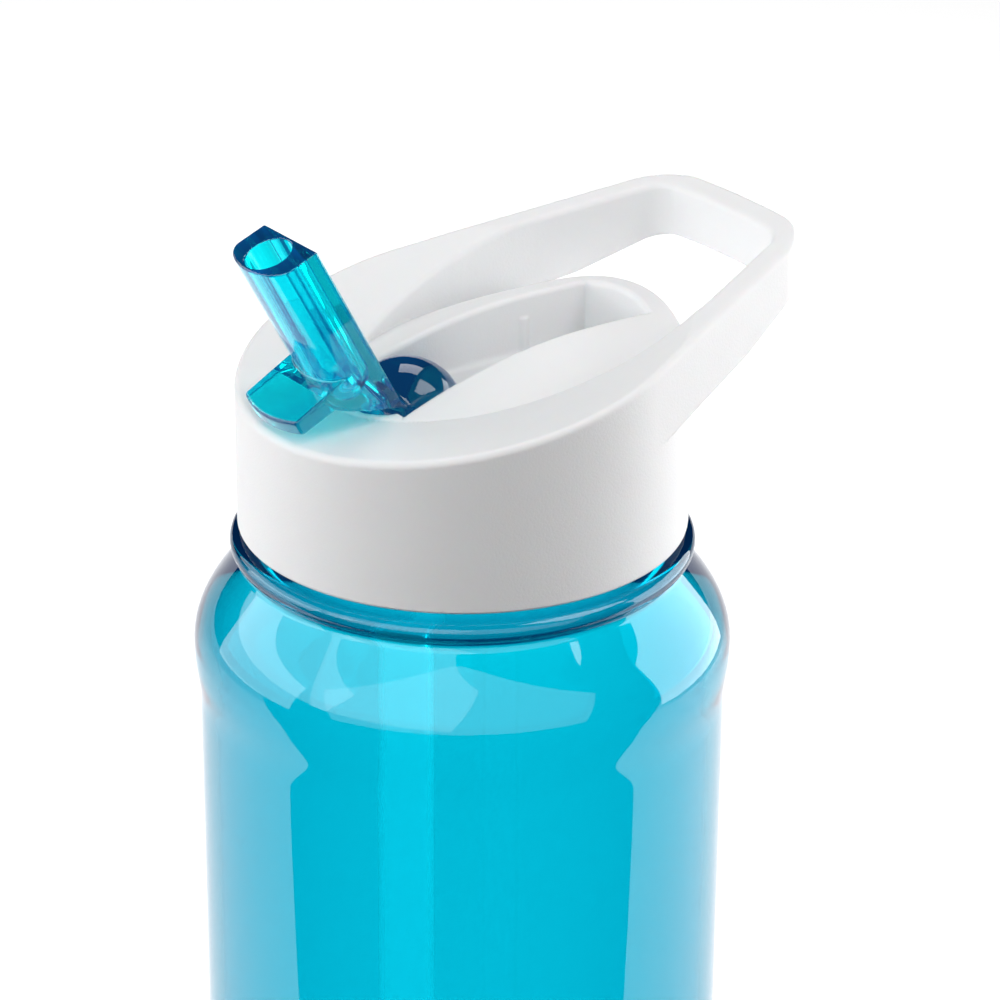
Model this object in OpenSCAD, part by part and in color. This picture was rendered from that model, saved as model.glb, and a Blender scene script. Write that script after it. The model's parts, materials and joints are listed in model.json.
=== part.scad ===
// Sports bottle: clear screw-neck body, lid with a carry loop, flip spout with a ball valve, straw.
// Millimetres. The origin is the centre of the base, +Z up, +X towards the end of the carry loop.
// Heights that start with "rise" or "drop" are measured from the lower edge of the closed lid.

/* [Bottle] */
// Height of the closed lid's lower edge above the table
lid_base_z = 192; // [150:1:240]
// Outer diameter of the straight body
body_d = 73.3; // [70:0.1:86]
// How much the shoulder bulges past the body, on the diameter
shoulder_bulge = 1.5; // [0:0.1:3]
// Drop from the lid's lower edge to the widest part of the shoulder
shoulder_drop = 17.8; // [15:0.1:24]
// Wall of the body
wall = 2.2; // [1.6:0.1:2.8]
// Radius between the body and the foot
foot_round = 6; // [4:0.5:9]
// Width of the ring that the bottle stands on
foot_ring = 4; // [2.5:0.5:6]
// Height of the dome pushed up inside the foot ring
push_up = 4; // [2:0.5:8]

/* [Neck and thread] */
// How far the bottle's lip stands above the lid's lower edge
lip_rise = 14; // [13.5:0.1:17]
// Radial gap between the neck and the lid's skirt
neck_gap = 2; // [1.9:0.05:2.4]
// Wall of the neck
neck_wall = 2.3; // [1.8:0.1:2.8]
// Pitch of the single-start thread
thread_pitch = 4.5; // [4.2:0.1:5.5]
// Turns of each thread
thread_turns = 1.25; // [1:0.05:1.35]
// Height of each thread ridge above its wall
thread_depth = 1.3; // [1:0.05:1.5]
// Width of each thread ridge at its root
thread_w = 2; // [1.6:0.1:2]
// How far the support bead stands out past the lid
bead_out = 1.1; // [0.5:0.1:2]
// Height of the support bead
bead_h = 3; // [2:0.1:4]
// Gap between the lid's lower edge and the support bead
bead_drop = 1.2; // [0.8:0.1:1.5]

/* [Lid] */
// Outer diameter of the lid
lid_d = 62; // [60:0.5:70]
// Wall of the lid's skirt
skirt_wall = 2; // [1.6:0.1:2.6]
// Wall over the hollows inside the lid
roof_wall = 2.4; // [1.8:0.1:3]
// Rise of the sloping rim at the lid's axis
rim_rise = 26.4; // [25.5:0.1:29]
// Slope of the rim, up towards the carry loop
rim_slope = 12; // [8:0.5:14]
// Rise of the crowned deck along its ridge
deck_rise = 27.7; // [27.2:0.1:30]
// Radius of the deck's crown across the lid
deck_crown = 33; // [30:1:60]
// Where the pocket around the deck begins, in front of the lid's axis
pocket_nose = 15; // [12:0.5:18]
// Thickness of the gasket under the lid's roof
gasket_t = 1.5; // [1:0.1:2]

/* [Carry loop] */
// Reach of the loop's end from the lid's axis
loop_reach = 48.6; // [44:0.5:60]
// Thickness of the loop's strip
loop_t = 4; // [3:0.1:5]
// Angle at which the two arms close in
arm_lean = 20; // [14:0.5:24]
// Outer radius of the loop's corners
loop_corner = 6; // [5.2:0.1:8]
// How much the loop's end is crowned
loop_crown = 1.2; // [0:0.1:2]
// Rise of the arms' lower edge where they leave the lid
arm_low_rise = 17.1; // [15:0.1:19]
// Rise of the arms' lower edge at the lid's back
arm_mid_rise = 23; // [21:0.1:25]
// Rise of the lower edge of the loop's end
arm_end_rise = 28.6; // [27:0.1:30]

/* [Spout] */
// Width of the spout
spout_w = 12.5; // [11:0.1:13]
// Depth of the spout from its flat back to its rounded front
spout_depth = 7.5; // [7:0.1:8.5]
// Depth of the flat sides before the front's rounding
spout_flat = 4.3; // [3.5:0.1:5]
// Length from the pivot to the mouth
spout_len = 34.5; // [28:0.1:35]
// Lean of the open spout from upright
spout_lean = 28.5; // [20:0.5:35]
// Bore of the spout
spout_bore = 6.4; // [4:0.1:6.6]
// Diameter of the spout's ball
ball_d = 16.4; // [15:0.1:17]
// Distance from the pivot forward to the spout's flat back
back_offset = 1.6; // [1:0.1:2]
// Place of the pivot in front of the lid's axis
pivot_x = 9.6; // [8.5:0.1:10.5]
// Rise of the pivot
pivot_rise = 17.4; // [17:0.1:18]
// Diameter of the two trunnions
trunnion_d = 4; // [3:0.1:4.6]
// Radial running clearance of the trunnions
trunnion_fit = 0.06; // [0.02:0.01:0.1]
// How far the thumb tab stands out from the spout's front
tab_out = 8; // [6:0.1:9]
// Thickness of the thumb tab at its tip
tab_t = 2.3; // [1.8:0.1:3]
// Distance from the pivot up to the tab's upper face
tab_up = 16; // [15:0.1:18]

/* [Slot] */
// Gap at each side of the spout in its slot
slot_gap = 0.75; // [0.6:0.05:1]
// Gap under the folded spout
floor_gap = 0.8; // [0.6:0.1:1.2]
// Gap past the folded spout's mouth
tip_gap = 2.2; // [1.8:0.1:2.6]
// Radius of the slot's rounded back end
slot_end_r = 22; // [16:1:30]
// Gap round the ball in its well
ball_gap = 0.5; // [0.3:0.05:0.8]

/* [Straw, seal and vent] */
// Outer diameter of the straw
straw_d = 8; // [7:0.1:8.4]
// Wall of the straw
straw_wall = 0.8; // [0.6:0.1:1]
// Gap between the straw and the bottle's floor
straw_floor_gap = 4.5; // [3:0.5:12]
// Length of the spigot that the straw slides over
spigot_len = 9; // [6:0.5:14]
// Outer diameter of the seal's seat
seat_d = 13; // [12:0.1:13.4]
// Gap between the ball and its seat
seat_fit = 0.1; // [0.05:0.01:0.15]
// Height of the seal below its lowest contact with the ball
seat_h = 3.5; // [2.5:0.1:4.5]
// Place of the vent behind the lid's axis
vent_x = 14; // [9:0.5:18]
// Diameter of the vent valve's cap
vent_cap_d = 7; // [6:0.1:8]

/* [Hidden] */
$fn = 96;
far = 200;           // longer than anything here, for cutting tools
fit_gap = 0.05;      // clearance of pieces that are pushed together
collar_step = 0.4;   // how far the collar under the bead stands in from the lid
shoulder_in = 3.6;   // reach of the shoulder's round past the lid
lip_chamfer = 0.8;
thread_root = 0.3;   // how deep a thread's root reaches into its wall
pocket_mid = 13;     // centre of the pocket's rounded front, behind the lid's axis
rim_width = 10;      // rim beside the pocket's rounded front
arm_join = 14.5;     // from the start of an arm's inner face to the pocket's round
case_wall = 2.2;     // wall round the well and the seat
side_wall = 3;       // wall beside the slot
bearing_depth = 1.6; // how deep the trunnions reach into the slot's walls
stop_gap = 0.3;      // gap between the open spout and the slot's leaning front
detent_x = 4;        // place of the detents behind the lid's axis
detent_r = 0.4;
seat_wrap = 2.4;     // how far the seal reaches up round the ball
seat_below = 0.6;    // height of the seal that lies above its lowest contact
retainer_t = 2;      // thickness of the retainer's plug
vent_head_t = 0.6;   // thickness of the vent valve's cap
vent_lip = 0.7;      // how far the valve's cap is sunk, and its barb stands out
stem_inset = 1.4;    // the valve's stem is this much smaller in radius than its cap
lid_r = lid_d / 2;
skirt_r = lid_r - skirt_wall;
neck_r = skirt_r - neck_gap;
neck_bore_r = neck_r - neck_wall;
body_r = body_d / 2;
shoulder_r = body_r + shoulder_bulge / 2;
collar_r = lid_r - collar_step;
bead_r = lid_r + bead_out;
foot_r = body_r - foot_round;
dome_r = foot_r - foot_ring;
roof_rise = lip_rise + gasket_t;
hollow_r = neck_bore_r - 2.2;
slot_half = spout_w / 2 + slot_gap;
ball_r = ball_d / 2;
well_r = ball_r + ball_gap;
slot_floor = pivot_rise + back_offset - floor_gap;
spout_top_u = back_offset + spout_depth;
mouth_skew = 7;      // the mouth is cut this many degrees off square
slot_end_x = spout_len - pivot_x + tip_gap;
case_half = slot_half + side_wall;
trunnion_reach = slot_half + bearing_depth;
seat_r = seat_d / 2;
seat_bore_r = 3.6;
seat_low = pivot_rise - ball_r - seat_fit - seat_h + seat_below;
case_low = seat_low - retainer_t;
casing_gap = 0.4;    // how far the casing may reach past the hollows, short of the gasket
plug_flange_t = 1.5;
plug_flange_r = seat_r + case_wall;
straw_bore_r = straw_d / 2 - straw_wall;
thread_low = 3.4;
thread_steps = 36;
arm_a = 90 - arm_lean;
corner_x = loop_reach - loop_crown - loop_corner;
corner_y = (lid_r - loop_corner - corner_x * cos(arm_a)) / sin(arm_a);

// Points on an arc
function arc(cx, cy, r, a0, a1, n) =
    [for (i = [0:n]) let (a = a0 + (a1 - a0) * i / n) [cx + r * cos(a), cy + r * sin(a)]];

// Points on a cubic curve, without its first point
function curve(p, n) =
    [for (i = [1:n]) let (t = i / n, s = 1 - t)
        s * s * s * p[0] + 3 * s * s * t * p[1] + 3 * s * t * t * p[2] + t * t * t * p[3]];

// One wall of the bottle from the foot ring to the collar, moved inwards by t
function wall_line(t) = concat(
    arc(foot_r, foot_round, foot_round - t, -90, 0, 8),
    [[body_r - t, lid_base_z - shoulder_drop - 9]],
    curve([[body_r - t, lid_base_z - shoulder_drop - 9],
        [body_r - t, lid_base_z - shoulder_drop - 5],
        [shoulder_r - t, lid_base_z - shoulder_drop - 4],
        [shoulder_r - t, lid_base_z - shoulder_drop]], 6),
    curve([[shoulder_r - t, lid_base_z - shoulder_drop],
        [shoulder_r - t, lid_base_z - shoulder_drop + 4.6],
        [lid_r + shoulder_in - t, lid_base_z - 10.2 - t * 0.4],
        [collar_r - t * 0.9, lid_base_z - bead_drop - bead_h - 0.9]], 10));

// The domed floor, from the axis to the foot ring
function floor_line(z) =
    [for (i = [0:8]) let (r = dome_r * i / 8) [r, z + push_up * (1 + cos(180 * i / 8)) / 2]];

function rev(points) = [for (i = [len(points) - 1:-1:0]) points[i]];

// A helical ridge on a wall of radius r. Side 1 stands outwards, side -1 inwards.
module thread(r, z, side) {
    n = floor(thread_turns * thread_steps);
    rings = [for (i = [0:n])
        let (a = 360 * i / thread_steps,
             zc = z + thread_pitch * i / thread_steps,
             grow = min(1, (i + 0.6) / 5, (n - i + 0.6) / 5),
             tip = r + side * thread_depth * grow,
             root = r - side * thread_root)
        [[root, zc - thread_w / 2], [tip, zc - thread_w * 0.22], [tip, zc + thread_w * 0.22], [root, zc + thread_w / 2]]];
    points = [for (i = [0:n]) for (q = rings[i])
        let (a = 360 * i / thread_steps) [q[0] * cos(a), q[0] * sin(a), q[1]]];
    quads = [for (i = [0:n - 1]) for (k = [0:3])
        let (a = 4 * i + k, b = 4 * i + (k + 1) % 4)
        side > 0 ? [b, b + 4, a + 4, a] : [a, a + 4, b + 4, b]];
    first = side > 0 ? [3, 2, 1, 0] : [0, 1, 2, 3];
    last = [for (k = [0:3]) 4 * n + (side > 0 ? k : 3 - k)];
    polyhedron(points, concat(quads, [first, last]), convexity = 6);
}

module bottle() {
    bead_z = lid_base_z - bead_drop - bead_h / 2;
    top_z = lid_base_z - bead_drop;
    lip_z = lid_base_z + lip_rise;
    outer = concat(
        floor_line(0),
        wall_line(0),
        arc(bead_r - bead_h / 2, bead_z, bead_h / 2, -90, 90, 8),
        [[neck_r, top_z], [neck_r, lip_z - lip_chamfer], [neck_r - lip_chamfer, lip_z]]);
    inner = concat(
        [[neck_bore_r + 0.6, lip_z], [neck_bore_r, lip_z - 0.6], [neck_bore_r, lid_base_z - 2]],
        rev(wall_line(wall)),
        rev(floor_line(wall)));
    color("deepskyblue", 0.6) {
        rotate_extrude() polygon(concat(outer, inner));
        translate([0, 0, lid_base_z]) thread(neck_r, thread_low + thread_pitch / 2, 1);
    }
}

// Everything under the sloping plane of the rim, lowered by t
module under_rim(t) {
    translate([0, 0, rim_rise - t]) rotate([0, -rim_slope, 0])
        translate([-far / 2, -far / 2, -far]) cube([far, far, far]);
}

// Everything under the crowned deck, lowered by t
module under_deck(t) {
    translate([-far / 2, 0, deck_rise - deck_crown]) rotate([0, 90, 0]) cylinder(r = deck_crown - t, h = far);
    translate([-far / 2, -deck_crown + t, deck_rise - deck_crown - far]) cube([far, 2 * (deck_crown - t), far]);
}

// Outline of the loop. t moves it inwards from the outer face.
function loop_line(t) = let (
    a0 = [(lid_r - t) * cos(arm_a), (lid_r - t) * sin(arm_a)],
    side = concat([a0], arc(corner_x, corner_y, loop_corner - t, arm_a, 0, 8)),
    crown = [for (i = [1:5]) let (v = 1 - i / 3) [corner_x + loop_corner - t + loop_crown * (1 - v * v), corner_y * v]])
    concat(side, crown, [for (i = [8:-1:0]) let (p = side[i + 1]) [p[0], -p[1]]], [[a0[0], -a0[1]]]);

// Outline of the pocket between the two arms, open to the back
function pocket_line() = let (
    ax = pocket_mid + pocket_nose, ay = lid_r - rim_width,
    nose = [for (i = [0:16]) let (a = 90 + 90 * i / 16) [pocket_mid + ax * cos(a), ay * sin(a)]],
    back = [[(lid_r - loop_t) * cos(arm_a) + arm_join * sin(arm_a), (lid_r - loop_t) * sin(arm_a) - arm_join * cos(arm_a)]])
    concat([[lid_r + 1, back[0][1]]], back, nose,
        [for (i = [15:-1:0]) [nose[i][0], -nose[i][1]]], [[back[0][0], -back[0][1]], [lid_r + 1, -back[0][1]]]);

module carry_loop() {
    difference() {
        linear_extrude(rim_rise + loop_reach) difference() {
            polygon(loop_line(0));
            polygon(loop_line(loop_t));
            circle(lid_r - 1);
        }
        rotate([90, 0, 0]) translate([0, 0, -far / 2]) linear_extrude(far)
            polygon([[-far, -1], [lid_r * cos(arm_a) - 0.2, arm_low_rise - 1], [lid_r * cos(arm_a) + 0.8, arm_low_rise],
                [lid_r + 1.4, arm_mid_rise], [loop_reach - 2, arm_end_rise], [far, arm_end_rise], [far, -1]]);
    }
}

// Pieces of the spout are placed from the pivot: u forwards from its back, w along it to the mouth
module at_pivot() {
    translate([-pivot_x, 0, pivot_rise]) rotate([0, -spout_lean, 0]) children();
}

module slot_space() {
    // the long trough for the folded spout
    intersection() {
        translate([slot_end_x - slot_end_r, 0, slot_floor]) cylinder(r = slot_end_r, h = far);
        translate([-pivot_x, -slot_half, slot_floor]) cube([far, 2 * slot_half, far]);
    }
    // the well for the ball
    translate([-pivot_x, slot_half, pivot_rise]) rotate([90, 0, 0]) cylinder(r = well_r, h = 2 * slot_half);
    translate([-pivot_x - well_r, -slot_half, pivot_rise]) cube([2 * well_r, 2 * slot_half, far]);
    // the leaning front, which stops the open spout
    at_pivot() translate([-spout_top_u - stop_gap, -slot_half, back_offset]) cube([spout_top_u, 2 * slot_half, far]);
    // bearing holes
    translate([-pivot_x, trunnion_reach + 0.2, pivot_rise]) rotate([90, 0, 0])
        cylinder(d = trunnion_d + 2 * trunnion_fit, h = 2 * trunnion_reach + 0.4);
    // seat for the seal and its plug
    translate([-pivot_x, 0, -1]) cylinder(r = seat_r + fit_gap, h = pivot_rise + 1);
    // vent
    translate([vent_x, 0, 0]) cylinder(r = vent_cap_d / 2 - stem_inset, h = far);
    translate([vent_x, 0, slot_floor - vent_lip]) cylinder(r = vent_cap_d / 2 + 0.3, h = far);
}

module lid_hollows() {
    // thread zone under the gasket
    translate([0, 0, -1]) cylinder(r = skirt_r, h = roof_rise + 1);
    // hollows beside the slot's casing
    intersection() {
        translate([0, 0, -1]) cylinder(r = hollow_r, h = far);
        under_rim(roof_wall);
        under_deck(roof_wall);
        union() {
            translate([-far / 2, case_half, 0]) cube([far, far, far]);
            translate([-far / 2, -case_half - far, 0]) cube([far, far, far]);
        }
    }
}

module lid() {
    color("whitesmoke") translate([0, 0, lid_base_z]) {
        difference() {
            intersection() {
                union() {
                    difference() {
                        cylinder(r = lid_r, h = rim_rise + lid_r);
                        difference() {
                            translate([0, 0, lip_rise]) linear_extrude(far) polygon(pocket_line());
                            under_deck(0);
                        }
                    }
                    carry_loop();
                }
                under_rim(0);
            }
            lid_hollows();
            slot_space();
        }
        // casing of the ball's well, below the roof
        difference() {
            intersection() {
                translate([-pivot_x, case_half, pivot_rise]) rotate([90, 0, 0])
                    cylinder(r = well_r + case_wall, h = 2 * case_half);
                translate([-far / 2, -far / 2, case_low]) cube([far, far, roof_rise + 0.5 - case_low]);
                cylinder(r = hollow_r + casing_gap, h = far);
            }
            slot_space();
        }
        difference() {
            translate([-pivot_x, 0, case_low]) cylinder(r = seat_r + case_wall, h = pivot_rise - ball_r - case_low);
            slot_space();
        }
        // detents that hold the folded spout
        for (side = [-1, 1])
            translate([detent_x, side * slot_half, slot_floor]) cylinder(r = detent_r, h = deck_rise - 2 - slot_floor, $fn = 24);
        intersection() {
            thread(skirt_r, thread_low, -1);
            cylinder(r = skirt_r + 1, h = roof_rise);
        }
    }
}

module lid_gasket() {
    color("lightgray") translate([0, 0, lid_base_z + lip_rise]) difference() {
        cylinder(r = skirt_r - 0.3, h = gasket_t);
        translate([0, 0, -1]) cylinder(r = hollow_r + 0.6, h = gasket_t + 2);
    }
}

// Section of the spout, flat back at u = 0, front towards -X
function spout_line() = let (h = spout_w / 2, f = spout_flat, d = spout_depth - spout_flat)
    concat([[0, h], [-f, h]],
        [for (i = [1:15]) let (a = 180 * i / 16) [-f - d * sin(a), h * cos(a)]],
        [[-f, -h], [0, -h]]);

module spout_solid() {
    // tube
    difference() {
        translate([-back_offset, 0, 2.5]) linear_extrude(spout_len) polygon(spout_line());
        translate([-back_offset, 0, spout_len]) rotate([0, mouth_skew, 0])
            translate([-far / 2, -far / 2, 0]) cube([far, far, far]);
    }
    // ball with flat sides, its own poles on the line of the lower bore
    intersection() {
        rotate([0, spout_lean, 0]) rotate([0, 0, 90]) sphere(r = ball_r);
        cube([far, spout_w, far], center = true);
    }
    // trunnions
    translate([0, trunnion_reach, 0]) rotate([90, 0, 0]) cylinder(d = trunnion_d, h = 2 * trunnion_reach);
    // thumb tab, with a bowed tip
    intersection() {
        rotate([90, 0, 0]) translate([0, 0, -spout_w / 2]) linear_extrude(spout_w)
            polygon([[-back_offset - spout_flat, tab_up], [-spout_top_u - tab_out, tab_up],
                [-spout_top_u - tab_out, tab_up - tab_t], [-spout_top_u, tab_up - tab_t - 0.6],
                [-spout_top_u + 1, 2.5], [-back_offset - spout_flat, 2.5]]);
        translate([-spout_top_u - tab_out + 16, 0, 0]) cylinder(r = 16, h = far);
    }
}

module spout_bores() {
    knee_w = 7;
    axis_u = back_offset + spout_depth / 2;
    // from the mouth down to the knee
    translate([-axis_u, 0, knee_w]) cylinder(d = spout_bore, h = far);
    translate([-axis_u, 0, knee_w]) sphere(d = spout_bore);
    // from the knee to the bottom of the ball
    drop_x = sin(spout_lean) * ball_r;
    drop_w = cos(spout_lean) * ball_r;
    run_x = axis_u - drop_x;
    run_w = knee_w + drop_w;
    translate([-axis_u, 0, knee_w]) rotate([0, 180 - atan2(run_x, run_w), 0])
        cylinder(d = spout_bore - 0.8, h = sqrt(run_x * run_x + run_w * run_w) + 3);
}

module spout() {
    color("darkcyan", 0.8) translate([0, 0, lid_base_z]) at_pivot() difference() {
        spout_solid();
        spout_bores();
    }
}

module spout_seal() {
    color("gainsboro") translate([-pivot_x, 0, lid_base_z]) difference() {
        translate([0, 0, seat_low]) cylinder(r = seat_r, h = pivot_rise - ball_r + seat_wrap - seat_low);
        cylinder(r = seat_bore_r, h = far);
        translate([0, 0, pivot_rise]) sphere(r = ball_r + seat_fit);
    }
}

module seal_retainer() {
    color("white") translate([-pivot_x, 0, lid_base_z]) difference() {
        union() {
            translate([0, 0, case_low]) cylinder(r = seat_r, h = seat_low - case_low);
            translate([0, 0, case_low - plug_flange_t]) cylinder(r = plug_flange_r, h = plug_flange_t);
            translate([0, 0, case_low - plug_flange_t - spigot_len]) cylinder(r = straw_bore_r - fit_gap, h = spigot_len + 1);
        }
        translate([0, 0, -far / 2]) cylinder(r = straw_bore_r - 0.8, h = far);
    }
}

module straw() {
    low = push_up + wall + straw_floor_gap;
    top = lid_base_z + case_low - plug_flange_t;
    color("paleturquoise", 0.7) translate([-pivot_x, 0, low]) difference() {
        cylinder(d = straw_d, h = top - low);
        translate([0, 0, -1]) cylinder(r = straw_bore_r, h = top - low + 2);
        // slanted foot, so the floor can't close it
        rotate([0, -30, 0]) translate([-far / 2, -far / 2, -far]) cube([far, far, far]);
    }
}

module vent_valve() {
    cap_r = vent_cap_d / 2;
    stem_r = cap_r - stem_inset - fit_gap;
    color("gainsboro") translate([vent_x, 0, lid_base_z]) {
        translate([0, 0, slot_floor - vent_lip]) cylinder(r = cap_r, h = vent_head_t);
        translate([0, 0, roof_rise - 1.6]) cylinder(r = stem_r, h = slot_floor - 0.4 - roof_rise + 1.6);
        translate([0, 0, roof_rise - 1]) cylinder(r = stem_r + vent_lip, h = 0.9);
        translate([-0.6, -stem_r, roof_rise - 4]) cube([1.2, 2 * stem_r, 2.6]);
    }
}

bottle();
lid();
lid_gasket();
spout();
spout_seal();
seal_retainer();
straw();
vent_valve();
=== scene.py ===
"""Sports bottle: clear tinted body, white lid with a carry loop, flip spout, straw and its small inner pieces."""

import json
import math
from itertools import product

import bmesh
import bpy
import numpy as np
from mathutils import Matrix, Vector


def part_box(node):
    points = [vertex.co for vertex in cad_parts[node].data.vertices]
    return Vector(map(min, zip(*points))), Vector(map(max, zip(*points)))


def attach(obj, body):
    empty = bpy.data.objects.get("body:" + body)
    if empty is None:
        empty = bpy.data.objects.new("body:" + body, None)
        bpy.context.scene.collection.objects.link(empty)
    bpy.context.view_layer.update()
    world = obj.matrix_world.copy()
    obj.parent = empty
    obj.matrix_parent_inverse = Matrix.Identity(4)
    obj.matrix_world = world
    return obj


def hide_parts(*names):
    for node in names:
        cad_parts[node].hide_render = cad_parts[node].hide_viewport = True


bl_info = {
    "name": "Sports Bottle",
    "version": (1, 0, 0),
    "blender": (4, 5, 0),
    "location": "View3D > Sidebar > Bottle",
    "description": "Builds a clear sports bottle with a screw lid, carry loop and flip spout",
    "category": "Add Mesh",
}

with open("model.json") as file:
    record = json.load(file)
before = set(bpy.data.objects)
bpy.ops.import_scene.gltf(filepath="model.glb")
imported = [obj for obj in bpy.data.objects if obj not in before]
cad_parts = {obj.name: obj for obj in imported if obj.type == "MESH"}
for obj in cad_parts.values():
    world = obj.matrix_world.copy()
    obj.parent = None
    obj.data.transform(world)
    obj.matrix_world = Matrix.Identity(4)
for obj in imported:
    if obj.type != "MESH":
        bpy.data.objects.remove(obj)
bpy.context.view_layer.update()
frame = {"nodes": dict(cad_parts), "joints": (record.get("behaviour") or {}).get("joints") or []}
MM = 0.001
LID_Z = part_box("lid")[0][2] / MM  # the lid's lower edge
LIP_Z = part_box("bottle")[1][2] / MM
FLIP = next(j for j in frame["joints"] if j["name"] == "spout_flip")
PIVOT_X = FLIP["pos_m"][0] / MM
PIVOT_Z = FLIP["pos_m"][2] / MM - LID_Z
BEAD_TOP = LID_Z - 1.2  # a gap of 1.2 mm is left between the lid and the support bead
THREAD_START = 3.4  # height of the lid's thread over the lid's lower edge, where it begins
THREAD_TURNS = 1.25


# ---------------------------------------------------------------- colour and nodes
def linear(code):
    """An sRGB hex colour as linear values."""
    channels = [int(code[i : i + 2], 16) / 255 for i in (0, 2, 4)]
    return tuple(c / 12.92 if c <= 0.04045 else ((c + 0.055) / 1.055) ** 2.4 for c in channels)


def node(tree, kind, links=(), **settings):
    """Adds a node, sets its properties and inputs, and links (socket, input name) pairs to it."""
    made = tree.nodes.new(kind)
    for key, value in settings.items():
        if hasattr(made, key):
            setattr(made, key, value)
        else:
            made.inputs[key.replace("_", " ")].default_value = value
    for socket, name in links:
        tree.links.new(socket, made.inputs[name])
    return made


def material(name):
    """An empty material and its node tree."""
    made = bpy.data.materials.new(name)
    made.use_nodes = True
    made.node_tree.nodes.clear()
    return made, made.node_tree


# ---------------------------------------------------------------- solids from distance fields
def cut(a, b, r):
    """Where both solids are, with their common edge rounded to r."""
    return np.minimum(-r, np.maximum(a, b)) + np.hypot(np.maximum(r + a, 0), np.maximum(r + b, 0))


def join(a, b, r):
    """Where either solid is, with a fillet r between them."""
    return -cut(-a, -b, r)


def slope_of(field, points):
    """The field's slope at each point, taken over 0.02 mm to each side."""
    h = 0.02
    out = np.empty_like(points)
    for k in range(3):
        d = np.zeros(3)
        d[k] = h
        out[:, k] = (field(*(points + d).T) - field(*(points - d).T)) / (2 * h)
    return out


def onto(field, points, times=2):
    """The points drawn onto the surface, at most 0.6 mm at a time."""
    for _ in range(times):
        g = slope_of(field, points)
        d = field(*points.T) / np.maximum((g * g).sum(1), 0.05)
        points = points - g * np.clip(d, -0.6, 0.6)[:, None]
    return points


def skin(field, low, high, step):
    """Quads round a distance field: one point in each cell that the surface crosses, drawn onto the surface."""
    axes = [np.arange(a - 1.5 * step, b + 2 * step, step) for a, b in zip(low, high)]
    across = np.meshgrid(axes[1], axes[2], indexing="ij")
    d = np.stack([field(np.full(across[0].shape, x), *across) for x in axes[0]])
    size = [n - 1 for n in d.shape]

    def corner(at):
        return d[tuple(slice(o, o + n) for o, n in zip(at, size))]

    inside = sum((corner(at) < 0).astype(np.int8) for at in product((0, 1), repeat=3))
    cells = np.argwhere((inside > 0) & (inside < 8))
    number = np.full(size, -1)
    number[tuple(cells.T)] = np.arange(len(cells))
    total, hits = np.zeros((len(cells), 3)), np.zeros(len(cells))
    for at in product((0, 1), repeat=3):
        for k in range(3):
            if at[k]:
                continue
            to = [o + (i == k) for i, o in enumerate(at)]
            a, b = (d[tuple((cells + np.array(o)).T)] for o in (at, to))
            crossed = (a < 0) != (b < 0)
            t = np.where(crossed, a / np.where(crossed, a - b, 1), 0)
            place = np.array(at, float) + np.eye(3)[k] * t[:, None]
            total += place * crossed[:, None]
            hits += crossed
    points = (cells + total / hits[:, None]) * step + np.array([a[0] for a in axes])
    quads = []
    for k in range(3):
        m, n = (k + 1) % 3, (k + 2) % 3
        ahead = np.moveaxis(d < 0, k, 0)
        change = np.moveaxis(ahead[1:] != ahead[:-1], 0, k)
        at = np.argwhere(change)
        at = at[(at[:, m] > 0) & (at[:, n] > 0)]
        em, en = np.eye(3, dtype=int)[m], np.eye(3, dtype=int)[n]
        ring = np.stack([number[tuple((at - s).T)] for s in (em + en, en, 0 * em, em)], 1)
        out = d[tuple(at.T)] < 0
        quads.append(np.where(out[:, None], ring, ring[:, ::-1]))
    quads = np.concatenate(quads)
    points = onto(field, points)
    # even out the spacing, then back onto the surface
    ends = np.concatenate([quads[:, [i, (i + 1) % 4]] for i in range(4)])
    for _ in range(3):
        near, count = np.zeros_like(points), np.zeros(len(points))
        for a, b in ((0, 1), (1, 0)):
            np.add.at(near, ends[:, a], points[ends[:, b]])
            np.add.at(count, ends[:, a], 1)
        points = onto(field, 0.4 * points + 0.6 * near / count[:, None], 1)
    g = slope_of(field, points)
    return points, quads, g / np.linalg.norm(g, axis=1)[:, None]


def piece(name, points, quads, body, mat, normals=None):
    """A mesh object in metres, from points in millimetres."""
    mesh = bpy.data.meshes.new(name)
    mesh.vertices.add(len(points))
    mesh.vertices.foreach_set("co", (np.asarray(points) * MM).ravel())
    quads = np.asarray(quads)
    mesh.loops.add(quads.size)
    mesh.loops.foreach_set("vertex_index", quads.ravel())
    mesh.polygons.add(len(quads))
    mesh.polygons.foreach_set("loop_start", np.arange(0, quads.size, 4))
    mesh.update(calc_edges=True)
    mesh.polygons.foreach_set("use_smooth", np.ones(len(quads), bool))
    if normals is not None:
        mesh.normals_split_custom_set_from_vertices(normals)
    else:
        # a turned profile meets itself on the axis
        shape = bmesh.new()
        shape.from_mesh(mesh)
        bmesh.ops.remove_doubles(shape, verts=shape.verts, dist=0.001 * MM)
        shape.to_mesh(mesh)
        shape.free()
    ob = bpy.data.objects.new(name, mesh)
    bpy.context.scene.collection.objects.link(ob)
    ob.data.materials.append(mat)
    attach(ob, body)
    return ob


def lathe(profile, turns, bump=None, closed=True):
    """Points and quads of a profile of (radius, height) turned round Z.

    bump(angle, radius, height) moves points outwards."""
    profile = np.array(profile)
    angles = np.arange(turns) * 2 * math.pi / turns
    a, r = np.meshgrid(angles, profile[:, 0], indexing="ij")
    z = np.broadcast_to(profile[:, 1], r.shape)
    if bump is not None:
        r = r + bump(a, r, z)
    points = np.stack([r * np.cos(a), r * np.sin(a), z], -1).reshape(-1, 3)
    n = len(profile)
    i, j = (g.ravel() for g in np.meshgrid(np.arange(turns), np.arange(n if closed else n - 1), indexing="ij"))
    i2, j2 = (i + 1) % turns, (j + 1) % n
    return points, np.stack([i * n + j, i2 * n + j, i2 * n + j2, i * n + j2], 1)


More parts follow.
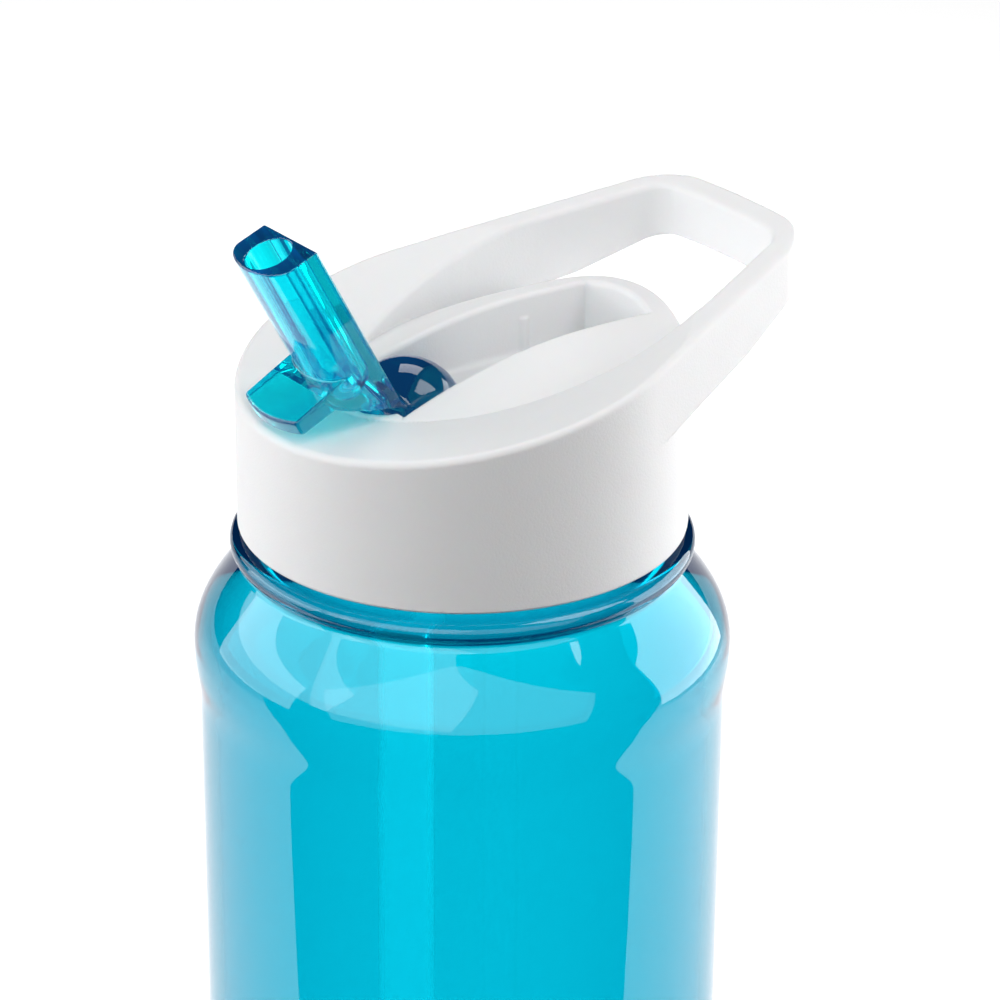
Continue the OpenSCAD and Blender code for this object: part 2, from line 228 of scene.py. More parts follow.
# ---------------------------------------------------------------- sizes and colours
def length(name, default_mm, text):
    return bpy.props.FloatProperty(
        name=name, description=text, default=default_mm * MM, min=0, precision=4, unit="LENGTH"
    )


def angle(name, degrees, text):
    return bpy.props.FloatProperty(name=name, description=text, default=math.radians(degrees), subtype="ANGLE")


def colour(name, code, text):
    return bpy.props.FloatVectorProperty(
        name=name, description=text, default=linear(code), size=3, min=0, max=1, subtype="COLOR"
    )


def amount(name, default, text):
    return bpy.props.FloatProperty(name=name, description=text, default=default, min=0)


class BottleSettings(bpy.types.PropertyGroup):
    """The blown body and its neck"""

    radius: length("Body radius", 36.65, "Outer radius of the straight body")
    bulge: length("Shoulder bulge", 0.72, "How far the shoulder stands out past the body")
    drop: length("Shoulder drop", 17.8, "From the lid's lower edge to the widest part of the shoulder")
    wall: length("Wall", 2.2, "Wall of the body")
    foot_round: length("Foot rounding", 6, "Radius between the body and the foot")
    foot_ring: length("Foot ring", 4, "Width of the ring that the bottle stands on")
    push_up: length("Push-up", 4, "Height of the dome inside the foot ring")
    neck: length("Neck radius", 27, "Outer radius of the neck under its thread")
    neck_bore: length("Neck bore", 24.7, "Inner radius of the neck")
    pitch: length("Thread pitch", 4.5, "Rise of the thread in one turn")
    thread: length("Thread depth", 1.3, "Height of the thread's ridge")
    bead: length("Bead height", 3, "Height of the support bead under the lid")
    bead_out: length("Bead reach", 1.1, "How far the bead stands out past the lid")
    tint: colour("Tint", "00D3DC", "What white light becomes after one depth of the tinted plastic")
    tint_depth: length("Tint depth", 2, "Depth of plastic that gives the tint")
    # painted glow: a faint emission colour on the body's plastic that stands in for light scattered inside it; painted
    # light, not a lamp
    painted_glow: colour("Painted glow", "021A35", "What the plastic's haze gives back at each face")


class LidSettings(bpy.types.PropertyGroup):
    """The screw lid and its carry loop"""

    radius: length("Radius", 31, "Outer radius of the skirt")
    skirt: length("Skirt wall", 2, "Wall of the skirt")
    rim_rise: length("Rim rise", 26.4, "Rise of the rim's edge at the lid's axis")
    rim_slope: angle("Rim slope", 12, "Slope of the rim up towards the loop")
    rim_dish: angle("Rim dish", 9.8, "Slope of the rim's top down towards the deck")
    rim_round: length("Rim rounding", 1.0, "Rounding of the rim's outer edge")
    deck_rise: length("Deck rise", 27.7, "Rise of the deck along its ridge")
    deck_crown: length("Deck crown", 33, "Radius of the deck across the lid")
    slot_half: length("Slot half width", 7, "Half the width of the spout's slot")
    slot_floor: length("Slot floor", 18.2, "Rise of the slot's floor")
    slot_round: length("Slot edge rounding", 0.9, "Rounding of the slot's upper edges")
    well: length("Well radius", 8.7, "Radius of the well round the spout's ball")
    loop_reach: length("Loop reach", 48.6, "Reach of the loop's end from the lid's axis")
    loop_strip: length("Loop strip", 4, "Thickness of the loop's strip")
    loop_corner: length("Loop corner", 6, "Outer radius of the loop's corners")
    arm_lean: angle("Arm lean", 20, "Angle at which the two arms close in")
    white: colour("Colour", "E4E4E5", "Colour of the white polypropylene")
    grain: length("Grain", 0.32, "Size of the grain on the outer faces")


class SpoutSettings(bpy.types.PropertyGroup):
    """The flip spout with its ball and thumb tab"""

    width: length("Width", 12.5, "Width across the flat sides")
    depth: length("Depth", 7.5, "From the flat back to the rounded front")
    flat: length("Flat sides", 4.3, "Depth of the flat sides")
    length: length("Length", 34.5, "From the pivot to the mouth")
    lean: angle("Lean", 28.5, "Lean of the open spout from upright")
    back: length("Back offset", 1.6, "From the pivot forward to the flat back")
    bore: length("Bore radius", 3.2, "Radius of the bore")
    ball: length("Ball radius", 8.2, "Radius of the valve ball")
    tab_up: length("Tab height", 16, "From the pivot up to the tab's upper face")
    tab_out: length("Tab reach", 8, "How far the tab stands out from the front")
    tint: colour("Tint", "00ECEC", "What white light becomes after one depth of the tinted plastic")
    tint_depth: length("Tint depth", 2, "Depth of plastic that gives the tint")
    # painted glow: a faint emission colour on the spout's plastic that stands in for light scattered inside it;
    # painted light, not a lamp
    painted_glow: colour("Painted glow", "08284B", "What the plastic's haze gives back at each face")


class StrawSettings(bpy.types.PropertyGroup):
    """The straw and the small inner pieces"""

    radius: length("Straw radius", 4, "Outer radius of the straw")
    wall: length("Straw wall", 0.8, "Wall of the straw")
    foot_cut: angle("Foot cut", 30, "Slant of the straw's foot")
    silicone: colour("Silicone", "DDE0E2", "Colour of the seal, gasket and vent valve")


class StageSettings(bpy.types.PropertyGroup):
    """The floor, the lamps and the camera"""

    azimuth: angle("Azimuth", -35.6, "The camera's place round the bottle")
    elevation: angle("Elevation", 24.9, "The camera's angle above the horizon")
    roll: angle("Roll", 0.15, "The camera's roll")
    distance: length("Distance", 557, "From the camera to the lid's lower edge")
    lens: amount("Lens", 145.6, "Focal length in millimetres")
    sky: amount("Sky", 0.9, "Brightness of the pale background over the floor")
    lit_floor: length("Lit floor", 75, "How far in front of the bottle's axis the floor still mirrors in it")
    floor: colour("Floor", "CCCCCC", "Colour of the floor")


GROUPS = {
    "bottle": BottleSettings,
    "lid": LidSettings,
    "spout": SpoutSettings,
    "straw": StrawSettings,
    "stage": StageSettings,
}


def settings(name):
    return getattr(bpy.context.scene, "sports_" + name)


def in_mm(group):
    """The group's lengths in millimetres and its angles in radians, by name."""
    out = {}
    for key, value in group.bl_rna.properties.items():
        if value.type == "FLOAT" and not value.is_array:
            out[key] = getattr(group, key) / (MM if value.unit == "LENGTH" else 1)
    return out


# ---------------------------------------------------------------- materials
def clear_plastic(name, tint, depth_mm, painted_glow, roughness=0.0, wave=0.02):
    """Clear tinted copolyester with a polished mould finish.

    It bends light like glass and its colour deepens with the depth of plastic. A faint painted glow, an emission given
    off evenly at every face though the plastic is no lamp, stands in for light scattered inside it and keeps the
    deepest rims and edges navy instead of black."""
    made, tree = material(name)
    place = node(tree, "ShaderNodeTexCoord").outputs["Object"]
    soft = node(tree, "ShaderNodeTexNoise", [(place, "Vector")], Scale=1 / (14 * MM), Detail=1.0)
    bump = node(tree, "ShaderNodeBump", [(soft.outputs["Fac"], "Height")], Strength=wave, Distance=0.4 * MM)
    shader = node(
        tree,
        "ShaderNodeBsdfPrincipled",
        [(bump.outputs["Normal"], "Normal")],
        Base_Color=(1, 1, 1, 1),
        Roughness=roughness,
        IOR=1.54,
        Transmission_Weight=1.0,
        # painted glow: the plastic gives off this faint colour at every face though it is no lamp, in place of light
        # scattered inside it
        Emission_Color=(*painted_glow, 1),
        Emission_Strength=1.0,
    )
    # what is taken off per metre: the red most, so that it is all gone in one wall
    taken = [-math.log(max(c, 0.015)) / (depth_mm * MM) for c in tint]
    density = max(taken)
    left = [1 - t / density for t in taken]
    inner = node(tree, "ShaderNodeVolumeAbsorption", Color=left + [1], Density=density)
    node(tree, "ShaderNodeOutputMaterial", [(shader.outputs[0], "Surface"), (inner.outputs[0], "Volume")])
    return made


def white_polypropylene(name, white, grain_mm):
    """Moulded polypropylene, satin on top.

    A fine spark-eroded grain on the upright outer faces scatters their highlights."""
    made, tree = material(name)
    place = node(tree, "ShaderNodeTexCoord").outputs["Object"]
    facing = node(tree, "ShaderNodeNewGeometry").outputs["True Normal"]
    up = node(tree, "ShaderNodeSeparateXYZ", [(facing, "Vector")]).outputs["Z"]
    level = node(tree, "ShaderNodeMath", [(up, 0)], operation="ABSOLUTE")
    upright = node(
        tree,
        "ShaderNodeMapRange",
        [(level.outputs[0], "Value")],
        From_Min=0.15,
        From_Max=0.5,
        To_Min=1.0,
        To_Max=0.12,
    )
    grain = node(tree, "ShaderNodeTexNoise", [(place, "Vector")], Scale=1 / (grain_mm * MM), Detail=2.0, Roughness=0.6)
    rough = node(
        tree,
        "ShaderNodeMapRange",
        [(grain.outputs["Fac"], "Value")],
        From_Min=0.3,
        From_Max=0.7,
        To_Min=0.42,
        To_Max=0.56,
    )
    # the faint unevenness of colour of a moulding, in patches of 6 mm
    mottle = node(tree, "ShaderNodeTexNoise", [(place, "Vector")], Scale=1 / (6 * MM), Detail=3.0)
    shade = node(tree, "ShaderNodeMix", [(mottle.outputs["Fac"], "Factor")], data_type="RGBA")
    shade.inputs["A"].default_value = [c * 0.985 for c in white] + [1]
    shade.inputs["B"].default_value = [min(1, c * 1.015) for c in white] + [1]
    bump = node(
        tree,
        "ShaderNodeBump",
        [(grain.outputs["Fac"], "Height"), (upright.outputs[0], "Strength")],
        Distance=0.035 * MM,
    )
    shader = node(
        tree,
        "ShaderNodeBsdfPrincipled",
        [(shade.outputs["Result"], "Base Color"), (rough.outputs[0], "Roughness"), (bump.outputs["Normal"], "Normal")],
        IOR=1.49,
        Subsurface_Weight=0.12,
        Subsurface_Scale=1.2 * MM,
    )
    node(tree, "ShaderNodeOutputMaterial", [(shader.outputs[0], "Surface")])
    return made


def silicone_rubber(name, tone):
    """Moulded silicone: translucent white with a dull skin."""
    made, tree = material(name)
    place = node(tree, "ShaderNodeTexCoord").outputs["Object"]
    dull = node(tree, "ShaderNodeTexNoise", [(place, "Vector")], Scale=1 / (0.6 * MM), Detail=2.0)
    rough = node(tree, "ShaderNodeMapRange", [(dull.outputs["Fac"], "Value")], To_Min=0.5, To_Max=0.68)
    bump = node(tree, "ShaderNodeBump", [(dull.outputs["Fac"], "Height")], Strength=0.3, Distance=0.02 * MM)
    shader = node(
        tree,
        "ShaderNodeBsdfPrincipled",
        [(rough.outputs[0], "Roughness"), (bump.outputs["Normal"], "Normal")],
        Base_Color=(*tone, 1),
        IOR=1.41,
        Subsurface_Weight=0.4,
        Subsurface_Scale=1.5 * MM,
    )
    node(tree, "ShaderNodeOutputMaterial", [(shader.outputs[0], "Surface")])
    return made


# ---------------------------------------------------------------- bottle
def arc(cx, cy, r, start, end, n):
    """Points on a circle from one angle to another, in degrees."""
    turns = [math.radians(a) for a in np.linspace(start, end, n)]
    return [(cx + r * math.cos(a), cy + r * math.sin(a)) for a in turns]


def curve(a, b, c, d, n):
    """Points on a cubic curve, without its first point."""
    a, b, c, d = map(np.array, (a, b, c, d))
    steps = np.linspace(0, 1, n + 1)[1:]
    return [tuple((1 - t) ** 3 * a + 3 * (1 - t) ** 2 * t * b + 3 * (1 - t) * t * t * c + t**3 * d) for t in steps]


def wall_line(s, t):
    """The wall from the foot ring to the collar under the bead, moved inwards by t."""
    wide, straight = s["radius"] + s["bulge"] - t, s["radius"] - t
    widest = LID_Z - s["drop"]
    start, middle = (straight, widest - 9), (wide, widest)
    collar = (30.6 - t * 0.9, BEAD_TOP - s["bead"] - 0.9)
    under_collar = (34.6 - t, LID_Z - 10.2 - t * 0.4)
    foot = s["radius"] - s["foot_round"]
    return (
        arc(foot, s["foot_round"], s["foot_round"] - t, -90, 0, 14)
        + [(straight, z) for z in np.linspace(s["foot_round"] + 4, start[1], 24)]
        + curve(start, (straight, start[1] + 4), (wide, widest - 4), middle, 14)
        + curve(middle, (wide, widest + 4.6), under_collar, collar, 26)
    )


def floor_line(s, lift):
    """The dome in the foot, from the axis out to the foot ring, raised by lift."""
    inner = s["radius"] - s["foot_round"] - s["foot_ring"]
    return [(inner * k / 14, lift + s["push_up"] * (1 + math.cos(math.pi * k / 14)) / 2) for k in range(15)]


def thread_fade(along):
    """How full the thread is at a number of turns from its start: it runs out over an eighth of a turn at each end."""
    return np.clip(np.minimum(along, THREAD_TURNS - along) * 8, 0, 1)


def thread_ridge(s, a, z):
    """How far the neck's thread stands out at an angle and height. It lies half a pitch over the lid's."""
    root_half, flank_rise = 1.05, 0.56
    out = np.zeros_like(z)
    for turn in (0, 1):
        along = a / (2 * math.pi) + turn
        height = THREAD_START + s["pitch"] * (0.5 + along)
        flank = np.clip((root_half - np.abs(z - LID_Z - height)) / flank_rise, 0, 1)
        out = np.maximum(out, s["thread"] * thread_fade(along) * flank)
    return out


class BOTTLE_OT_body(bpy.types.Operator):
    """Build the blown body: foot ring, shoulder, support bead and threaded neck"""

    bl_idname = "sports_bottle.body"
    bl_label = "Body"

    def execute(self, context):
        s = in_mm(settings("bottle"))
        neck, bore, half_bead = s["neck"], s["neck_bore"], s["bead"] / 2
        bead_r = in_mm(settings("lid"))["radius"] + s["bead_out"]
        root_round, lip_round, bore_round = 0.5, 0.8, 0.6
        outer = (
            floor_line(s, 0)
            + wall_line(s, 0)
            + arc(bead_r - half_bead, BEAD_TOP - half_bead, half_bead, -90, 86, 18)
            + arc(neck + root_round, BEAD_TOP + root_round, root_round, 270, 180, 5)
            + [(neck, z) for z in np.linspace(LID_Z + 2.5, LIP_Z - 1.6, 40)]
            + arc(neck - lip_round, LIP_Z - lip_round, lip_round, 0, 90, 7)
        )
        inner = arc(bore + bore_round, LIP_Z - bore_round, bore_round, 90, 180, 6) + [(bore, LID_Z - 1.5)]
        inner += wall_line(s, s["wall"])[::-1] + floor_line(s, s["wall"])[::-1]

        def ridge(a, r, z):
            on_neck = (np.abs(r - neck) < 0.01) & (z > LID_Z + 2)
            return np.where(on_neck, thread_ridge(s, a, z), 0)

        points, quads = lathe(outer + inner, 240, ridge, closed=False)
        look = settings("bottle")
        mat = clear_plastic("Clear Tinted Copolyester Body", look.tint, s["tint_depth"], look.painted_glow)
        ob = piece("body", points, quads, "bottle", mat)
        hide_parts("bottle")
        return {"FINISHED"}


# ---------------------------------------------------------------- lid
def lid_shape(s, b):
    """The lid's distance field, in millimetres from the lid's lower edge on its axis."""
    tilt, dish = math.tan(s["rim_slope"]), math.tan(s["rim_dish"])
    r0, strip, floor, half = s["radius"], s["loop_strip"], s["slot_floor"], s["slot_half"]
    lean_x, lean_y = math.sin(s["arm_lean"]), math.cos(s["arm_lean"])

    def tops(x, y, r):
        """Heights of the dished rim and of the deck, which is highest across the lid at x = 15."""
        rim = s["rim_rise"] + tilt * x - dish * np.maximum(r0 - r, 0)
        peak, fall_front, fall_back = 15, 0.0063, 0.0023
        back = np.maximum(x - peak, 0)
        crown = y * y / (2 * s["deck_crown"])
        deck = s["deck_rise"] - fall_front * np.maximum(peak - x, 0) ** 2 - fall_back * back * back - crown
        return rim, deck

    def hollow_between(x, ay, arm, end):
        """Outline of the pocket and of the loop's hole.

        It is a pointed round in front, and then runs along the arms to the loop's end."""
        middle, long, wide, power = 13, 31.8, 21, 1.68
        nose_x, nose_y = np.minimum(x - middle, 0) / -long, ay / wide
        reach = np.maximum((nose_x**power + nose_y**power) ** (1 / power), 1e-6)
        steep = np.hypot((nose_x / reach) ** (power - 1) / long, (nose_y / reach) ** (power - 1) / wide)
        oval = (reach - 1) / np.maximum(steep, 0.02)
        return cut(cut(oval, arm + strip, 2.0), end + strip, 2.4)

    def loop_underside(x):
        """Height of the loop's lower edge: steeper beyond the barrel than over it."""
        bend_x, bend_z = 32.4, 23
        return np.maximum(bend_z + 0.281 * (x - bend_x), bend_z + 0.42 * (x - bend_x))

    def outside(x, y, z, r, ay, rim, deck):
        barrel = r - r0
        arm = lean_x * x + lean_y * ay - r0
        end = x - (s["loop_reach"] - 1.2 * (ay / 19) ** 2)  # bowed by 1.2 mm
        ahead = lean_y * x - lean_x * ay
        plan = np.where(ahead > 0, cut(arm, end, s["loop_corner"]), barrel)
        inside = hollow_between(x, ay, arm, end)
        # the rim runs on into the loop, which is open underneath
        ring = cut(cut(rim, plan, s["rim_round"]), -inside, 0.8)
        loop = np.maximum(cut(ring, (loop_underside(x) - z) * 0.94, 0.8), -ahead)
        island = cut(cut(deck, inside - 0.3, 0.4), barrel, 0.9)
        body = join(np.minimum(np.maximum(ring, barrel), loop), island, 0.4)
        return cut(body, -z, 0.45)

    def underside(y, z, r, ay, rim, deck, px, pz):
        """The cup over the neck and the room over it, round the case that holds the ball and its seat."""
        cup_roof, room_r, shell = 15.5, 22.5, 2.4
        case_r, case_half, case_low = 10.9, 10.25, 4.2
        seat_r, seat_top = 8.7, 9.2
        cup = cut(r - (r0 - s["skirt"]), z - cup_roof, 0.8)
        room = np.maximum(np.maximum(r - room_r, case_half - ay), np.maximum(rim, deck) + shell)
        case = np.maximum(np.maximum(np.hypot(px, pz) - case_r, ay - case_half), case_low - z)
        seat = np.maximum(np.hypot(px, y) - seat_r, case_low - z)
        return np.maximum(np.minimum(cup, room), -np.minimum(case, np.maximum(seat, z - seat_top)))

    def inner_thread(x, y, z, r):
        crest_half, flank = 0.44, 0.43
        turn = np.arctan2(y, x) / (2 * math.pi) % 1
        ridge = np.full_like(x, 9.0)
        for along in (turn, turn + 1):
            reach = r0 - s["skirt"] - b["thread"] * thread_fade(along)
            height = np.abs(z - THREAD_START - b["pitch"] * along) - crest_half - flank * (r - reach)
            ridge = np.minimum(ridge, cut(reach - r, height, 0.2))
        return np.maximum(ridge, r - r0 + 1)

    def spout_slot(x, y, z, ay, px, pz):
        """The trough with the ball's well, round at the back and closed in front round the ball."""
        end_x, end_r = 27.1, 22
        trough = np.maximum(-px, floor - z)
        well = np.minimum(np.hypot(px, pz) - s["well"], np.maximum(np.maximum(px - s["well"], -px), -pz))
        slot = cut(join(trough, well, 0.3), ay - half, 0.9)
        slot = np.maximum(slot, np.where(x > end_x - end_r, np.hypot(x - end_x + end_r, y) - end_r, ay - end_r))
        ball = np.sqrt(px * px + y * y + pz * pz) - s["well"]
        return np.where(px < -2, np.maximum(slot, np.minimum(ball, -px - 5)), slot)

    def field(x, y, z):
        r, ay = np.hypot(x, y), np.abs(y)
        px, pz = x - PIVOT_X, z - PIVOT_Z
        # each height is scaled by the cosine of its slope, so that it stays close to a distance
        rim_z, deck_z = tops(x, y, r)
        rim, deck = (z - rim_z) * 0.955, (z - deck_z) * 0.93
        body = outside(x, y, z, r, ay, rim, deck)
        body = cut(body, -underside(y, z, r, ay, rim, deck, px, pz), 0.3)
        body = np.minimum(body, inner_thread(x, y, z, r))
        body = cut(body, -spout_slot(x, y, z, ay, px, pz), s["slot_round"])
        # detent ribs on the slot's walls
        rib_x, rib_r, rib_top = 15.4, 0.8, 23.6
        rib = cut(np.hypot(x - rib_x, ay - half - 0.35) - rib_r, z - rib_top, 0.4)
        body = join(body, rib, 0.3)
        # bearings for the spout's pins, the seal's bore, and the vent with its recess
        pin_r, pin_end, bore_r = 2.06, 8.8, 6.55
        vent_x, vent_r, recess_r, recess_deep = 14, 2.1, 3.8, 0.7
        bearings = np.maximum(np.hypot(px, pz) - pin_r, ay - pin_end)
        bore = np.maximum(np.hypot(px, y) - bore_r, pz)
        from_vent = np.hypot(x - vent_x, y)
        vent = np.minimum(from_vent - vent_r, np.maximum(from_vent - recess_r, floor - recess_deep - z))
        return cut(body, -np.minimum(np.minimum(bearings, bore), vent), 0.15)

    return field


class BOTTLE_OT_lid(bpy.types.Operator):
    """Build the white lid with its sloping rim, crowned deck, spout slot and carry loop"""

    bl_idname = "sports_bottle.lid"
    bl_label = "Lid"

    def execute(self, context):
        s = in_mm(settings("lid"))
        step = 0.42
        shape = lid_shape(s, in_mm(settings("bottle")))
        points, quads, normals = skin(shape, (-31, -31, 0), (48.6, 31, 38), step)
        mat = white_polypropylene("White Polypropylene Lid", settings("lid").white, s["grain"])
        ob = piece("lid_shell", points + (0, 0, LID_Z), quads, "lid", mat, normals)
        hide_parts("lid")
        return {"FINISHED"}


# ---------------------------------------------------------------- spout
def spout_shape(s):
    """The spout's distance field in its own frame: u forward from the pivot, y across, w along it to the mouth."""
    half, flat_end = s["width"] / 2, s["back"] + s["flat"]
    round_out = half / (s["depth"] - s["flat"])
    front = s["back"] + s["depth"]
    skew = math.tan(math.radians(7))  # slant of the mouth
    axis = s["back"] + 3.75
    tip = front + s["tab_out"]
    bore_foot, passage_r = 13.5, 1.15
    bend, throat, outlet = (4.4, 12.5), (3.1, 7.4), (3.9, -9.5)

    def passage(u, y, w, a, b):
        """A flattened passage between two points of the middle plane."""
        along = np.array(b) - a
        t = np.clip(((u - a[0]) * along[0] + (w - a[1]) * along[1]) / (along @ along), 0, 1)
        off_u, off_w = u - a[0] - t * along[0], w - a[1] - t * along[1]
        return np.sqrt(off_u**2 + off_w**2 + (0.45 * y) ** 2) - passage_r

    def field(u, y, w):
        ay = np.abs(y)
        bow = np.maximum(u - flat_end, 0) * round_out
        reach = np.hypot(bow, y)
        oval = (reach - half) * reach / np.maximum(np.hypot(bow * round_out, y), 1e-6)
        section = cut(np.where(u > flat_end, oval, ay - half), s["back"] - u, 0.35)
        # the underside lies just above the lid's front
        under = (5.7 + 0.8 * (u - 1.5) - w) * 0.78
        tube = cut(cut(section, under, 0.35), (w - s["length"] - skew * (u - s["back"])) * 0.99, 0.35)
        ball = cut(np.sqrt(u * u + y * y + w * w) - s["ball"], ay - half, 0.3)
        # the thumb tab, thinner towards its bowed tip
        low = s["tab_up"] - 2.3 - 0.6 * np.clip((tip - u) / s["tab_out"], 0, 1.2)
        bow_r = 16
        bowed = np.hypot(u - (tip - bow_r), y) - bow_r
        plate = cut(cut(w - s["tab_up"], low - w, 0.5), bowed, 0.5)
        block = np.maximum(cut(u - 8.8 - 0.85 * (w - 11.55), under, 0.3) * 0.8, w - s["tab_up"])
        tab = cut(np.maximum(np.minimum(plate, block), flat_end - u), ay - half, 0.4)
        body = join(join(tube, tab, 0.25), ball, 1.3)
        body = cut(body, ay - half, 0.2)
        pins = np.maximum(np.hypot(u, w) - 2, ay - 8.6)
        body = np.minimum(body, pins)
        # the round bore down to its ball-shaped foot, and the flattened passage from there through the ball
        foot = np.sqrt((u - axis) ** 2 + y * y + (w - bore_foot) ** 2)
        main = np.where(w > bore_foot, np.hypot(u - axis, y), foot) - s["bore"]
        lower = join(passage(u, y, w, bend, throat), passage(u, y, w, throat, outlet), 0.2)
        return cut(body, -np.minimum(main, lower), 0.25)

    return field


class BOTTLE_OT_spout(bpy.types.Operator):
    """Build the clear flip spout with its ball valve and thumb tab"""

    bl_idname = "sports_bottle.spout"
    bl_label = "Spout"

    def execute(self, context):
        s = in_mm(settings("spout"))
        step = 0.2
        points, quads, normals = skin(spout_shape(s), (-8.2, -8.6, -8.2), (17.1, 8.6, 35.5), step)
        # u runs towards -X, so the frame is mirrored and the quads turn over
        turn = np.array(Matrix.Rotation(-s["lean"], 3, "Y"))
        points, normals = ((v * (-1, 1, 1)) @ turn.T for v in (points, normals))
        points = points + (PIVOT_X, 0, PIVOT_Z + LID_Z)
        look = settings("spout")
        mat = clear_plastic("Clear Tinted Copolyester Spout", look.tint, s["tint_depth"], look.painted_glow)
        ob = piece("spout_tube", points, quads[:, ::-1], "spout", mat, normals)
        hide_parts("spout")
        return {"FINISHED"}


# ---------------------------------------------------------------- straw and inner pieces
class BOTTLE_OT_straw(bpy.types.Operator):
    """Build the drawn straw with its slanted foot"""

    bl_idname = "sports_bottle.straw"
    bl_label = "Straw"

    def execute(self, context):
        s = in_mm(settings("straw"))
        low, high = (v[2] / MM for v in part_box("straw"))
        r, bore = s["radius"], s["radius"] - s["wall"]
        rise = np.linspace(0, 1, 60)
        profile = [(r, h) for h in rise] + [(bore, h) for h in rise[::-1]]
        points, quads = lathe(profile, 64)
        foot = low + np.maximum(points[:, 0], 0) * math.tan(s["foot_cut"])
        points[:, 2] = foot + (high - foot) * points[:, 2]
        points[:, 0] += PIVOT_X
        # drawn, not moulded: almost colourless, a little rougher and less even, with a brighter grey painted glow
        # given off at every face in place of light scattered inside the tube
        mat = clear_plastic("Extruded Clear Straw Tube", linear("F2FCFD"), 2.0, linear("303A3C"), 0.03, 0.03)
        ob = piece("straw_tube", points, quads, "lid", mat)
        edges = ob.modifiers.new("crisp ends", "EDGE_SPLIT")
        edges.split_angle = math.radians(50)
        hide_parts("straw")
        return {"FINISHED"}


class BOTTLE_OT_inner(bpy.types.Operator):
    """Finish the gasket, the ball's seal, its retainer and the vent valve"""

    bl_idname = "sports_bottle.inner"
    bl_label = "Inner pieces"

    def execute(self, context):
        rubber = silicone_rubber("Moulded Silicone Rubber", settings("straw").silicone)
        lid = settings("lid")
        white = white_polypropylene("White Polypropylene Retainer", lid.white, in_mm(lid)["grain"])
        finishes = {"lid_gasket": rubber, "spout_seal": rubber, "vent_valve": rubber, "seal_retainer": white}
        for name, mat in finishes.items():
            slots = frame["nodes"][name].data.materials
            slots.clear()
            slots.append(mat)
        return {"FINISHED"}


# ---------------------------------------------------------------- stage
# name, azimuth and elevation in degrees, distance, width and height in metres, power in watts
LAMPS = [
    ("front card", -37, 27, 1.0, 2.75, 0.77, 7.1),
    ("left box", -130, 26, 0.6, 0.95, 0.3, 1.5),
    ("left far box", -132, 10, 1.0, 0.9, 0.5, 3.2),
    ("left side box", -70, 32, 1.0, 1.2, 0.75, 3.9),
    ("right box", 76, 7, 0.6, 0.58, 0.46, 3.1),
    ("top box", 45, 55, 0.9, 0.5, 0.5, 3.2),
    ("back box", 135, 55, 1.0, 0.45, 0.45, 2.4),
]


def away(azimuth, elevation):
    """The direction of a place round the bottle, seen from the bottle."""
    level = math.cos(elevation)
    return Vector((math.sin(azimuth) * level, -math.cos(azimuth) * level, math.sin(elevation)))


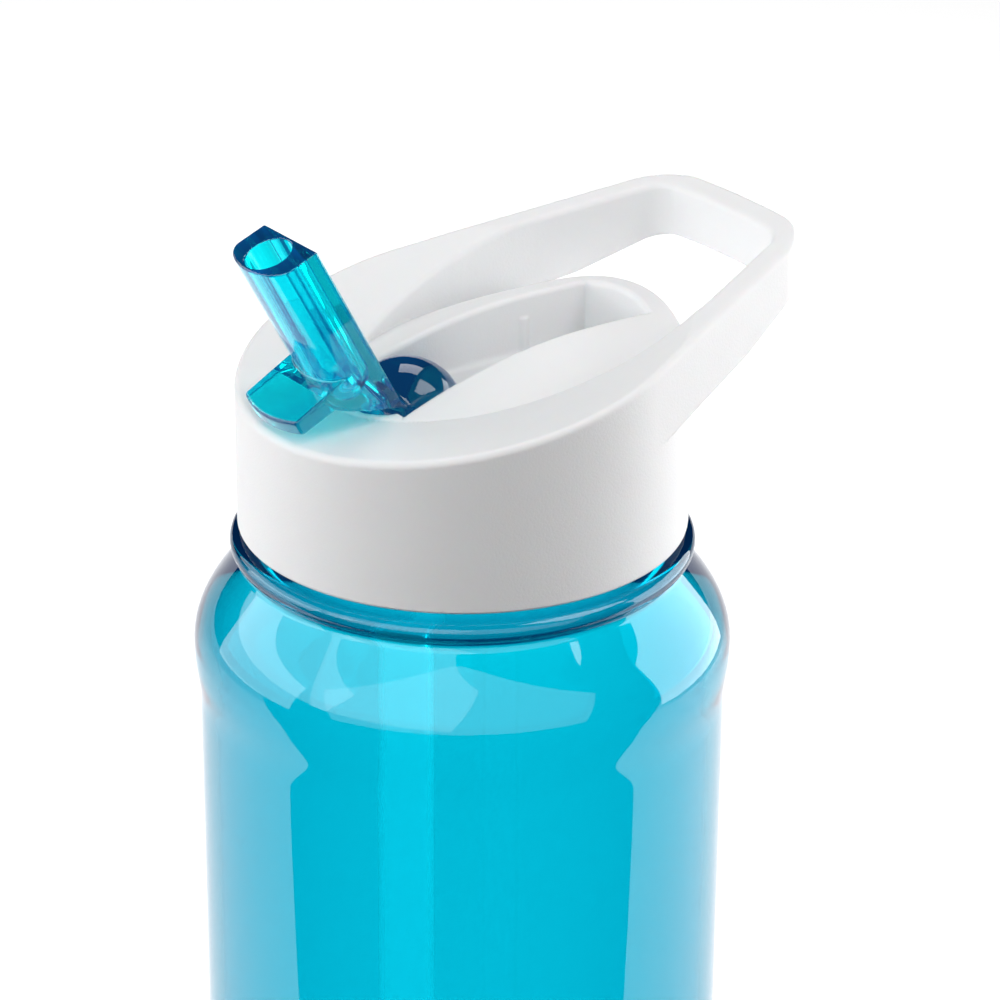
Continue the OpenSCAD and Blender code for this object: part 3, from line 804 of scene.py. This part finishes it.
class BOTTLE_OT_stage(bpy.types.Operator):
    """Set the pale floor, the soft boxes and the camera"""

    bl_idname = "sports_bottle.stage"
    bl_label = "Stage"

    def floor(self, s, scene):
        paint, tree = material("Matt White Floor")
        shader = node(
            tree,
            "ShaderNodeBsdfPrincipled",
            Base_Color=(*s.floor, 1),
            Roughness=0.9,
            Emission_Color=(1, 1, 1, 1),
            Emission_Strength=0.72,
        )
        node(tree, "ShaderNodeOutputMaterial", [(shader.outputs[0], "Surface")])
        # in front of the bottle the floor is seen but neither mirrors in the pieces nor bounces light
        # at them, so the middle of the wall stays deep in colour between its two pale sides
        wide = 6
        across, back = away(s.azimuth + math.pi / 2, 0), -away(s.azimuth, 0)
        for name, near, far in (("floor", -s.lit_floor, wide), ("front_floor", -wide, -s.lit_floor)):
            corners = ((wide, near), (wide, far), (-wide, far), (-wide, near))
            mesh = bpy.data.meshes.new(name)
            mesh.from_pydata([tuple(across * x + back * y) for x, y in corners], [], [(0, 1, 2, 3)])
            mesh.materials.append(paint)
            floor = bpy.data.objects.new(name, mesh)
            floor.visible_glossy = floor.visible_diffuse = name == "floor"
            scene.collection.objects.link(floor)

    def background(self, s, scene):
        """A pale background, seen but giving no reflection and no light."""
        sky = bpy.data.worlds.new("studio")
        sky.use_nodes = True
        glow = sky.node_tree.nodes["Background"]
        glow.inputs["Color"].default_value = (1, 1, 1, 1)
        glow.inputs["Strength"].default_value = s.sky
        scene.world = sky
        sky.cycles_visibility.diffuse = sky.cycles_visibility.glossy = False

    def lamps(self, scene, aim):
        for name, azimuth, elevation, far, wide, tall, power in LAMPS:
            lamp = bpy.data.lights.new(name, "AREA")
            lamp.shape = "RECTANGLE"
            lamp.size, lamp.size_y, lamp.energy = wide, tall, power
            ob = bpy.data.objects.new(name, lamp)
            scene.collection.objects.link(ob)
            side = away(math.radians(azimuth), math.radians(elevation))
            ob.location = aim + side * far
            ob.rotation_euler = side.to_track_quat("Z", "Y").to_euler()
            ob.visible_camera = False

    def camera(self, s, scene, aim):
        camera = bpy.data.cameras.new("camera")
        camera.sensor_width, camera.lens = 36, s.lens
        camera.shift_x, camera.shift_y = 0.0374, 0.0156
        camera.clip_start, camera.clip_end = 0.01, 20
        ob = bpy.data.objects.new("camera", camera)
        scene.collection.objects.link(ob)
        side = away(s.azimuth, s.elevation)
        roll = Matrix.Rotation(s.roll, 3, "Z").to_quaternion()
        ob.location = aim + side * s.distance
        ob.rotation_euler = (side.to_track_quat("Z", "Y") @ roll).to_euler()
        scene.camera = ob

    def execute(self, context):
        s, scene = settings("stage"), context.scene
        aim = Vector((0, 0, LID_Z * MM))
        self.floor(s, scene)
        self.background(s, scene)
        self.lamps(scene, aim)
        self.camera(s, scene, aim)
        scene.view_settings.view_transform = "Standard"
        return {"FINISHED"}


# ---------------------------------------------------------------- add-on
OPERATORS = [BOTTLE_OT_stage, BOTTLE_OT_body, BOTTLE_OT_lid, BOTTLE_OT_spout, BOTTLE_OT_straw, BOTTLE_OT_inner]


class BOTTLE_PT_panel(bpy.types.Panel):
    """Lists the bottle's pieces and their sizes"""

    bl_idname = "BOTTLE_PT_panel"
    bl_label = "Sports Bottle"
    bl_space_type = "VIEW_3D"
    bl_region_type = "UI"
    bl_category = "Bottle"

    def draw(self, context):
        for operator in OPERATORS:
            self.layout.operator(operator.bl_idname)
        for name in GROUPS:
            box = self.layout.box()
            box.label(text=name.capitalize())
            for key in GROUPS[name].__annotations__:
                box.prop(settings(name), key)


def register():
    for group in GROUPS.values():
        bpy.utils.register_class(group)
    for name, group in GROUPS.items():
        setattr(bpy.types.Scene, "sports_" + name, bpy.props.PointerProperty(type=group))
    for cls in [*OPERATORS, BOTTLE_PT_panel]:
        bpy.utils.register_class(cls)


def unregister():
    for cls in [BOTTLE_PT_panel, *reversed(OPERATORS)]:
        bpy.utils.unregister_class(cls)
    for name, group in GROUPS.items():
        delattr(bpy.types.Scene, "sports_" + name)
        bpy.utils.unregister_class(group)


def main():
    register()
    for operator in OPERATORS:
        group, _, name = operator.bl_idname.partition(".")
        getattr(getattr(bpy.ops, group), name)()
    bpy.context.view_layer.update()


if __name__ == "__main__":
    main()
